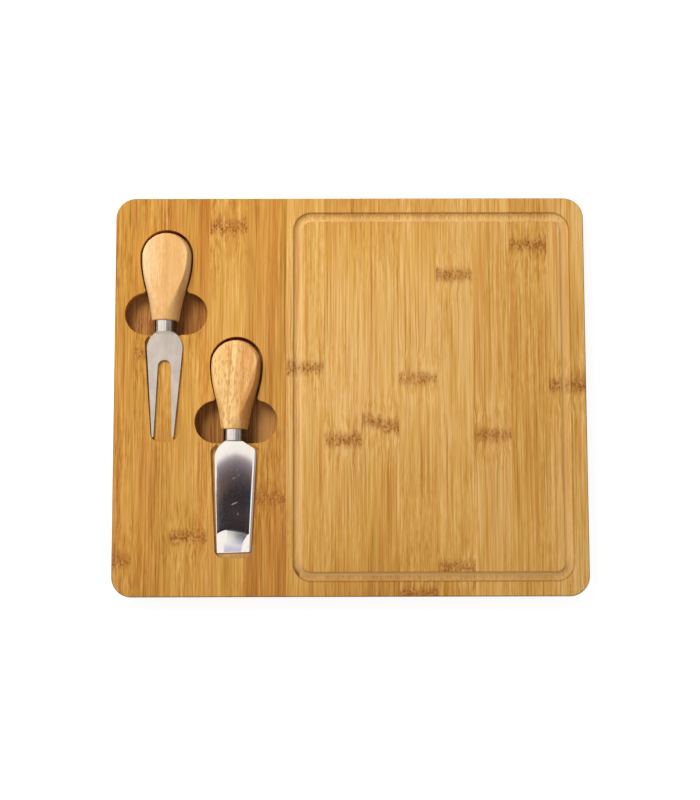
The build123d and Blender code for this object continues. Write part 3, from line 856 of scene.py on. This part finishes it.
# Knife blade: sheet with a bevel down its right side and an end that the polishing wheel rolled
# off below an arch. Corners go up the left side and up the right one, as (x, y, share rounded).
knifeBlade = {
    "left": [(-8.4, -66.1, 0), (-11.5, -4.8, 0.75), (-4.8, 0.0, 0)],
    "right": [(11.7, -65.0, 0), (13.5, -5.2, 0.28), (4.8, 0.0, 0)],
    "halfThickness": 0.75,
    "sideWidth": 1.4,
    "sideSlopes": (0.05, 0.12),
    "sideSlopeEnds": (-10.0, -22.0),
    "groundWidth": 0.95,
    "groundSlope": 0.3,
    "sideSoft": 0.12,
    "archTop": (-2.5, -51.6),
    "archBends": (0.086, 0.016),
    "rollSlope": 0.055,
    "rollSoftLeft": 0.9,
    "rollSoftRight": 2.2,
    "rollCurl": 0.0005,
    "cornerStart": (9.6, -55.5),
    "cornerLean": 0.75,
    "cornerBend": 0.035,
    "cornerSlope": 0.036,
    "cornerSoft": 0.15,
    "leftWidth": 0.6,
    "leftSlope": 0.05,
    "leftEnds": (-20.0, -33.0),
    "edge": 0.1,
    "endRow": 0.04,
    "wornUpTo": 0.98,
    "columns": 60,
    "rows": 150,
    "tangHalf": 3.5,
    "tangFrom": 0.02,
    "tangLength": 30.0,
    "roundStep": 0.25,
}


def smoothRamp(value, soft):
    # 0 below, value above, with a parabola between -soft and soft
    return 0.0 if value <= -soft else value if value >= soft else (value + soft) ** 2 / (4 * soft)


def makeKnifeBlade(finish):
    look = knifeBlade
    sides = [roundedPath(look[name], look["roundStep"]) for name in ("left", "right")]
    (leftX, leftY), (rightX, rightY) = sides[0][0], sides[1][0]

    def endAt(x):
        return leftY + (rightY - leftY) * (x - leftX) / (rightX - leftX)

    # each row is a line between the end's line and the neck's, at a share of the way up
    climbs = [[(1 - point.y / endAt(point.x), point.x) for point in side] for side in sides]

    def sideAt(climb, share):
        for (low, lowX), (high, highX) in zip(climb, climb[1:]):
            if share <= high:
                return lowX + (highX - lowX) * (share - low) / (high - low)
        return climb[-1][1]

    long = -leftY
    shares = {0.0, look["endRow"] / long, look["edge"] / long}
    shares |= {row / look["rows"] for row in range(1, look["rows"])}
    shares |= {share for climb in climbs for share, x in climb}
    sideTop, sideFoot = Vector(look["right"][1][:2]), Vector(look["right"][0][:2])
    inward = Vector((-(sideTop - sideFoot).y, (sideTop - sideFoot).x)).normalized()

    def drop(x, y, fromLeft, toEdge):
        inside = (Vector((x, y)) - sideFoot).dot(inward)
        soft = look["sideSoft"]
        (slopeAbove, slopeBelow), (above, below) = look["sideSlopes"], look["sideSlopeEnds"]
        slope = slopeAbove + (slopeBelow - slopeAbove) * min(1.0, max(0.0, (y - above) / (below - above)))
        side = slope * smoothRamp(look["sideWidth"] - inside, soft)
        side += look["groundSlope"] * smoothRamp(look["groundWidth"] - inside, soft)
        fullEnd, noEnd = look["leftEnds"]
        width = look["leftWidth"] * min(1.0, max(0.0, (y - noEnd) / (fullEnd - noEnd)))
        side += look["leftSlope"] * smoothRamp(width - fromLeft, soft) if width else 0.0
        archX, archY = look["archTop"]
        arch = archY - look["archBends"][x > archX] * (x - archX) ** 2
        acrossShare = (x - leftX) / (rightX - leftX)
        soft = look["rollSoftLeft"] + (look["rollSoftRight"] - look["rollSoftLeft"]) * acrossShare
        below = smoothRamp(arch - y, soft)
        roll = look["rollSlope"] * below + look["rollCurl"] * below ** 2
        cornerX, cornerY = look["cornerStart"]
        beyond = x - cornerX - look["cornerLean"] * (y - cornerY) - look["cornerBend"] * (y - cornerY) ** 2
        roll += look["cornerSlope"] * smoothRamp(beyond, look["cornerSoft"])
        edge = look["edge"]
        worn = edge - math.sqrt(max(0.0, edge ** 2 - (edge - min(edge, toEdge)) ** 2))
        return side + roll + worn

    rows = []
    for share in sorted(shares):
        left, right = (sideAt(climb, share) for climb in climbs)
        edge = look["edge"]
        across = [0.0, edge / 4, edge]
        span = right - left
        places = across + [edge + (span - 2 * edge) * step / look["columns"] for step in range(1, look["columns"])]
        places += [span - place for place in reversed(across)]
        row = []
        for place in places:
            x = left + place
            y = (1 - share) * endAt(x)
            toEdge = min(place, span - place, y - endAt(x)) if share < look["wornUpTo"] else edge
            row.append((x, y, look["halfThickness"] - drop(x, y, place, toEdge)))
        rows.append(row)
    for y in (look["tangFrom"], look["tangLength"]):
        half = look["tangHalf"]
        count = len(rows[0])
        rows.append([(half * (2 * step / (count - 1) - 1), y, look["halfThickness"]) for step in range(count)])

    shape = bmesh.new()
    upper = [[shape.verts.new(place) for place in row] for row in rows]
    lower = [[shape.verts.new((x, y, -look["halfThickness"])) for x, y, z in row] for row in rows]
    for below, above in zip(upper, upper[1:]):
        for step in range(len(below) - 1):
            shape.faces.new((below[step], below[step + 1], above[step + 1], above[step])).smooth = True
    for below, above in zip(lower, lower[1:]):
        for step in range(len(below) - 1):
            shape.faces.new((above[step], above[step + 1], below[step + 1], below[step])).smooth = True
    upperRim, lowerRim = (
        grid[0] + [row[-1] for row in grid[1:]] + grid[-1][-2::-1] + [row[0] for row in grid[-2:0:-1]]
        for grid in (upper, lower))
    for step in range(len(upperRim)):
        following = (step + 1) % len(upperRim)
        face = shape.faces.new((lowerRim[step], lowerRim[following], upperRim[following], upperRim[step]))
        for side in face.edges:
            side.smooth = False
    mesh = bpy.data.meshes.new("knifeBlade")
    shape.to_mesh(mesh)
    shape.free()
    mesh.transform(toolMatrix("knife") @ Matrix.Scale(millimetre, 4))
    mesh.materials.append(finish)
    piece = bpy.data.objects.new("knifeBlade", mesh)
    bpy.context.scene.collection.objects.link(piece)
    return piece


def toolPlace(add, tool):
    # millimetres from the ferrule's blade end, along the tool's own axes
    here = add("ShaderNodeTexCoord").node.outputs["Object"]
    origin = toolMatrix(tool).translation
    moved = add("ShaderNodeVectorMath", [here, tuple(origin)], operation="SUBTRACT")
    scaled = add("ShaderNodeVectorMath", [moved, (1000.0, 1000.0, 1000.0)], operation="MULTIPLY")
    return add("ShaderNodeVectorRotate", {"Vector": scaled, "Angle": -math.radians(tools[tool]["turn"])},
               rotation_type="Z_AXIS")


# Handle wood. Turned rubberwood, sanded and sealed with clear satin lacquer: soft stripes along
# the handle, fine grain, and short brown dashes where the wood's open pores are cut.
# where the handles' painted light and shade lie, across and along the handle in millimetres
handleGrain = {
    "rightHalfShade": (0.4, 1.4, 0.45),
    "leftHighlight": (-4.5, -14.0, 0.85),
    "facetEdge": (-0.7, 0.9),
    "facetRightOf": 4.0,
    "poreRange": (0.64, 0.76),
}
# right is painted shade, left a painted highlight, and facet painted light on the fork and painted shade on the
# knife
handleWoods = {
    "fork": {"pale": "#F8CD94", "mid": "#EDBA7C", "dark": "#DCA665", "right": "#E4AE6B", "pore": "#C08A4A",
             "left": "#FFE6B8", "facetLightAndShade": "#FAD9A0", "facetFrom": (11.5, 0.0), "facetShare": 0.7,
             "pores": 0.18, "stripe": 0.45, "seed": 4.0},
    "knife": {"pale": "#FFDFA0", "mid": "#F6C37A", "dark": "#D3924F", "right": "#E2A361", "pore": "#AD682E",
              "left": "#FFDA94", "facetLightAndShade": "#C98640", "facetFrom": (-3.1, 0.345), "facetShare": 0.75,
              "pores": 0.4, "stripe": 0.72, "seed": 11.0},
}


def makeHandleWood(tool):
    look = handleWoods[tool]
    material, tree, shader = newMaterial(f"lacquered rubberwood {tool}", IOR=1.5, Specular_IOR_Level=0.2,
                                         Coat_Weight=0.06, Coat_Roughness=0.25)
    add = partial(addNode, tree)
    place = toolPlace(add, tool)
    seedPlace = (look["seed"], look["seed"] * 1.7, look["seed"] * 0.6)
    waves = []
    for across, along, detail in ((0.33, 0.014, 2.0), (1.9, 0.055, 2.0), (0.9, 0.25, 1.0)):
        often = (across, along, across * 0.7)
        at = add("ShaderNodeVectorMath", [place, often, seedPlace], operation="MULTIPLY_ADD")
        wave = add("ShaderNodeTexNoise", {"Vector": at, "Scale": 1.0, "Detail": detail, "Roughness": 0.55})
        waves.append(add("ShaderNodeMath", [wave, 0.5], operation="SUBTRACT"))
    stripe, grain, mottle = waves
    value = add("ShaderNodeMath", [stripe, 1.5 * look["stripe"], 0.5], operation="MULTIPLY_ADD")
    value = add("ShaderNodeMath", [grain, 0.7, value], operation="MULTIPLY_ADD")
    value = add("ShaderNodeMath", [mottle, 0.3, value], operation="MULTIPLY_ADD")
    colour = setRamp(add("ShaderNodeValToRGB", [value]),
                     [(0.25, look["dark"]), (0.5, look["mid"]), (0.72, look["pale"])])
    x, y, z = add("ShaderNodeSeparateXYZ", [place]).node.outputs
    # painted light and shade: the right half is browner as painted shade, the left side paler as a painted
    # highlight, and the facet to the right takes its own tone, paler on the fork as painted light and darker on the
    # knife as painted shade
    for name, tint in (("rightHalfShade", "right"), ("leftHighlight", "left")):
        start, full, most = handleGrain[name]
        share = add("ShaderNodeMapRange", {"Value": x, "From Min": start, "From Max": full, "To Max": most})
        colour = add("ShaderNodeMix", {0: share, 6: colour, 7: linear(look[tint])}, data_type="RGBA")
    facetAt, facetLean = look["facetFrom"]
    beyond = add("ShaderNodeMath", [y, -facetLean, x], operation="MULTIPLY_ADD")
    beyond = add("ShaderNodeMath", [beyond, facetAt], operation="SUBTRACT")
    rightPart = add("ShaderNodeMath", [x, handleGrain["facetRightOf"]], operation="SUBTRACT")
    beyond = add("ShaderNodeMath", [beyond, rightPart], operation="MINIMUM")
    facetLightAndShade = maskOf(add, look["facetShare"], (beyond, *handleGrain["facetEdge"]))
    colour = add("ShaderNodeMix", {0: facetLightAndShade, 6: colour, 7: linear(look["facetLightAndShade"])}, data_type="RGBA")
    # pores: short strokes where a fine noise stretched along the grain peaks, in loose groups
    poreAt = add("ShaderNodeVectorMath", [place, (1.5, 0.26, 1.5), seedPlace], operation="MULTIPLY_ADD")
    pore = add("ShaderNodeTexNoise", {"Vector": poreAt, "Scale": 1.0, "Detail": 1.0})
    groupAt = add("ShaderNodeVectorMath", [place, (0.16, 0.09, 0.16), seedPlace], operation="MULTIPLY_ADD")
    group = add("ShaderNodeTexNoise", {"Vector": groupAt, "Scale": 1.0, "Detail": 1.0})
    pore = add("ShaderNodeMath", [group, 0.22, pore], operation="MULTIPLY_ADD")
    pore = maskOf(add, look["pores"], (pore, *handleGrain["poreRange"]))
    colour = add("ShaderNodeMix", {0: pore, 6: colour, 7: linear(look["pore"])}, data_type="RGBA")
    rough = add("ShaderNodeMath", [grain, 0.2, 0.42], operation="MULTIPLY_ADD")
    height = add("ShaderNodeMath", [pore, -1.0, grain], operation="MULTIPLY_ADD")
    bump = add("ShaderNodeBump", {"Strength": 0.2, "Distance": 0.0001, "Height": height})
    for socket, value in (("Base Color", colour), ("Roughness", rough), ("Normal", bump)):
        tree.links.new(value, shader.inputs[socket])
    return material


# Steel. Stainless steel of cutlery grade: pale warm grey. The fork's blade is tumbled satin,
# with soft blotches; the knife's is mirror polished, with hair scratches along it; the ferrules
# are bright drawn, with fine lines along them, and their flanks are darkened as a painted reflection.
# The flank entry gives where that painted reflection starts and ends.
# A scratch is (x, y) of its start and its end, and its width, in millimetres.
steels = {
    "satin": {"colour": "#D7CFC6", "blotch": "#CAC1B8", "rough": 0.26, "streaks": (0.9, 0.12, 0.9), "bump": 0.10},
    "mirror": {"colour": "#FBF9F7", "blotch": "#F5F2F0", "rough": 0.045, "streaks": (3.0, 0.05, 3.0),
               "bump": 0.02, "scratchShare": 0.2, "scratches": [
                   (-0.2, -37.5, 2.6, -36.1, 0.34), (2.0, -17.3, 2.4, -16.9, 0.24),
                   (-1.1, -17.6, -0.8, -17.4, 0.2), (0.0, -22.5, 1.0, -21.7, 0.22),
                   (3.3, -42.6, 3.5, -43.2, 0.24), (3.0, -19.6, 3.2, -20.4, 0.15)]},
    "drawn": {"colour": "#F6F2EE", "blotch": "#DAD5D0", "rough": 0.12, "streaks": (1.3, 0.05, 1.3), "bump": 0.5,
              "paintedFlank": (3.9, 5.0), "paintedFlankShare": 0.92, "flankReflectionAndLineColour": "#35302E", "lines": 0.75,
              "lineRange": (0.50, 0.66), "linesFrom": (-1.2, 2.5)},
}


def makeSteel(name, tool):
    look = steels[name]
    material, tree, shader = newMaterial(f"{name} stainless steel {tool}", Metallic=1.0)
    add = partial(addNode, tree)
    place = toolPlace(add, tool)
    blotchAt = add("ShaderNodeVectorMath", [place, (0.16, 0.11, 0.16)], operation="MULTIPLY")
    blotch = add("ShaderNodeTexNoise", {"Vector": blotchAt, "Scale": 1.0, "Detail": 2.0})
    share = add("ShaderNodeMapRange", {"Value": blotch, "From Min": 0.35, "From Max": 0.65})
    colour = add("ShaderNodeMix", {0: share, 6: linear(look["colour"]), 7: linear(look["blotch"])},
                 data_type="RGBA")
    streakAt = add("ShaderNodeVectorMath", [place, look["streaks"]], operation="MULTIPLY")
    streak = add("ShaderNodeTexNoise", {"Vector": streakAt, "Scale": 1.0, "Detail": 2.0})
    # the flanks are darkened as a painted reflection; the fine lines along the ferrule take the same dark colour
    if "paintedFlank" in look:
        x = add("ShaderNodeSeparateXYZ", [place])
        fromAxis = add("ShaderNodeMath", [x], operation="ABSOLUTE")
        paintedFlank = maskOf(add, look["paintedFlankShare"], (fromAxis, *look["paintedFlank"]))
        line = maskOf(add, look["lines"], (streak, *look["lineRange"]), (x, *look["linesFrom"]))
        flankReflectionAndLines = add("ShaderNodeMath", [paintedFlank, line], operation="MAXIMUM")
        colour = add("ShaderNodeMix", {0: flankReflectionAndLines, 6: colour, 7: linear(look["flankReflectionAndLineColour"])}, data_type="RGBA")
    uneven = add("ShaderNodeMath", [streak, 0.5], operation="SUBTRACT")
    rough = add("ShaderNodeMath", [uneven, look["rough"] * 0.6, look["rough"]], operation="MULTIPLY_ADD")
    for startX, startY, endX, endY, width in look.get("scratches", ()):
        # a short dull line from start to end
        start = Vector((startX, startY, knifeBlade["halfThickness"]))
        along = Vector((endX - startX, endY - startY, 0.0))
        away = add("ShaderNodeVectorMath", [place, tuple(start)], operation="SUBTRACT")
        step = add("ShaderNodeVectorMath", [away, tuple(along / along.length_squared)],
                   operation="DOT_PRODUCT").node.outputs["Value"]
        step = add("ShaderNodeClamp", {"Value": step})
        nearest = add("ShaderNodeVectorMath", {0: tuple(along), "Scale": step}, operation="SCALE")
        gap = add("ShaderNodeVectorMath", [away, nearest], operation="DISTANCE").node.outputs["Value"]
        mark = add("ShaderNodeMapRange", {"Value": gap, "From Min": width * 1.3, "From Max": 0.0,
                                          "To Max": look["scratchShare"]})
        rough = add("ShaderNodeMath", [rough, mark], operation="MAXIMUM")
    bump = add("ShaderNodeBump", {"Strength": look["bump"], "Distance": 0.00002, "Height": streak})
    for socket, value in (("Base Color", colour), ("Roughness", rough), ("Normal", bump)):
        tree.links.new(value, shader.inputs[socket])
    return material


finished = {
    "fork_handle": (makeHandle("fork", makeHandleWood("fork")), "pale_handle_wood"),
    "fork_ferrule": (makeFerrule("fork", makeSteel("drawn", "fork")), "ferrule_steel"),
    "fork_blade": (makeForkBlade(makeSteel("satin", "fork")), "satin_steel"),
    "knife_handle": (makeHandle("knife", makeHandleWood("knife")), "warm_handle_wood"),
    "knife_ferrule": (makeFerrule("knife", makeSteel("drawn", "knife")), "ferrule_steel"),
    "knife_blade": (makeKnifeBlade(makeSteel("mirror", "knife")), "polished_steel"),
}
for node, (piece, slot) in finished.items():
    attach(piece, node.split("_")[0])
    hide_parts(node)
print("tools: handles, ferrules and blades finished")
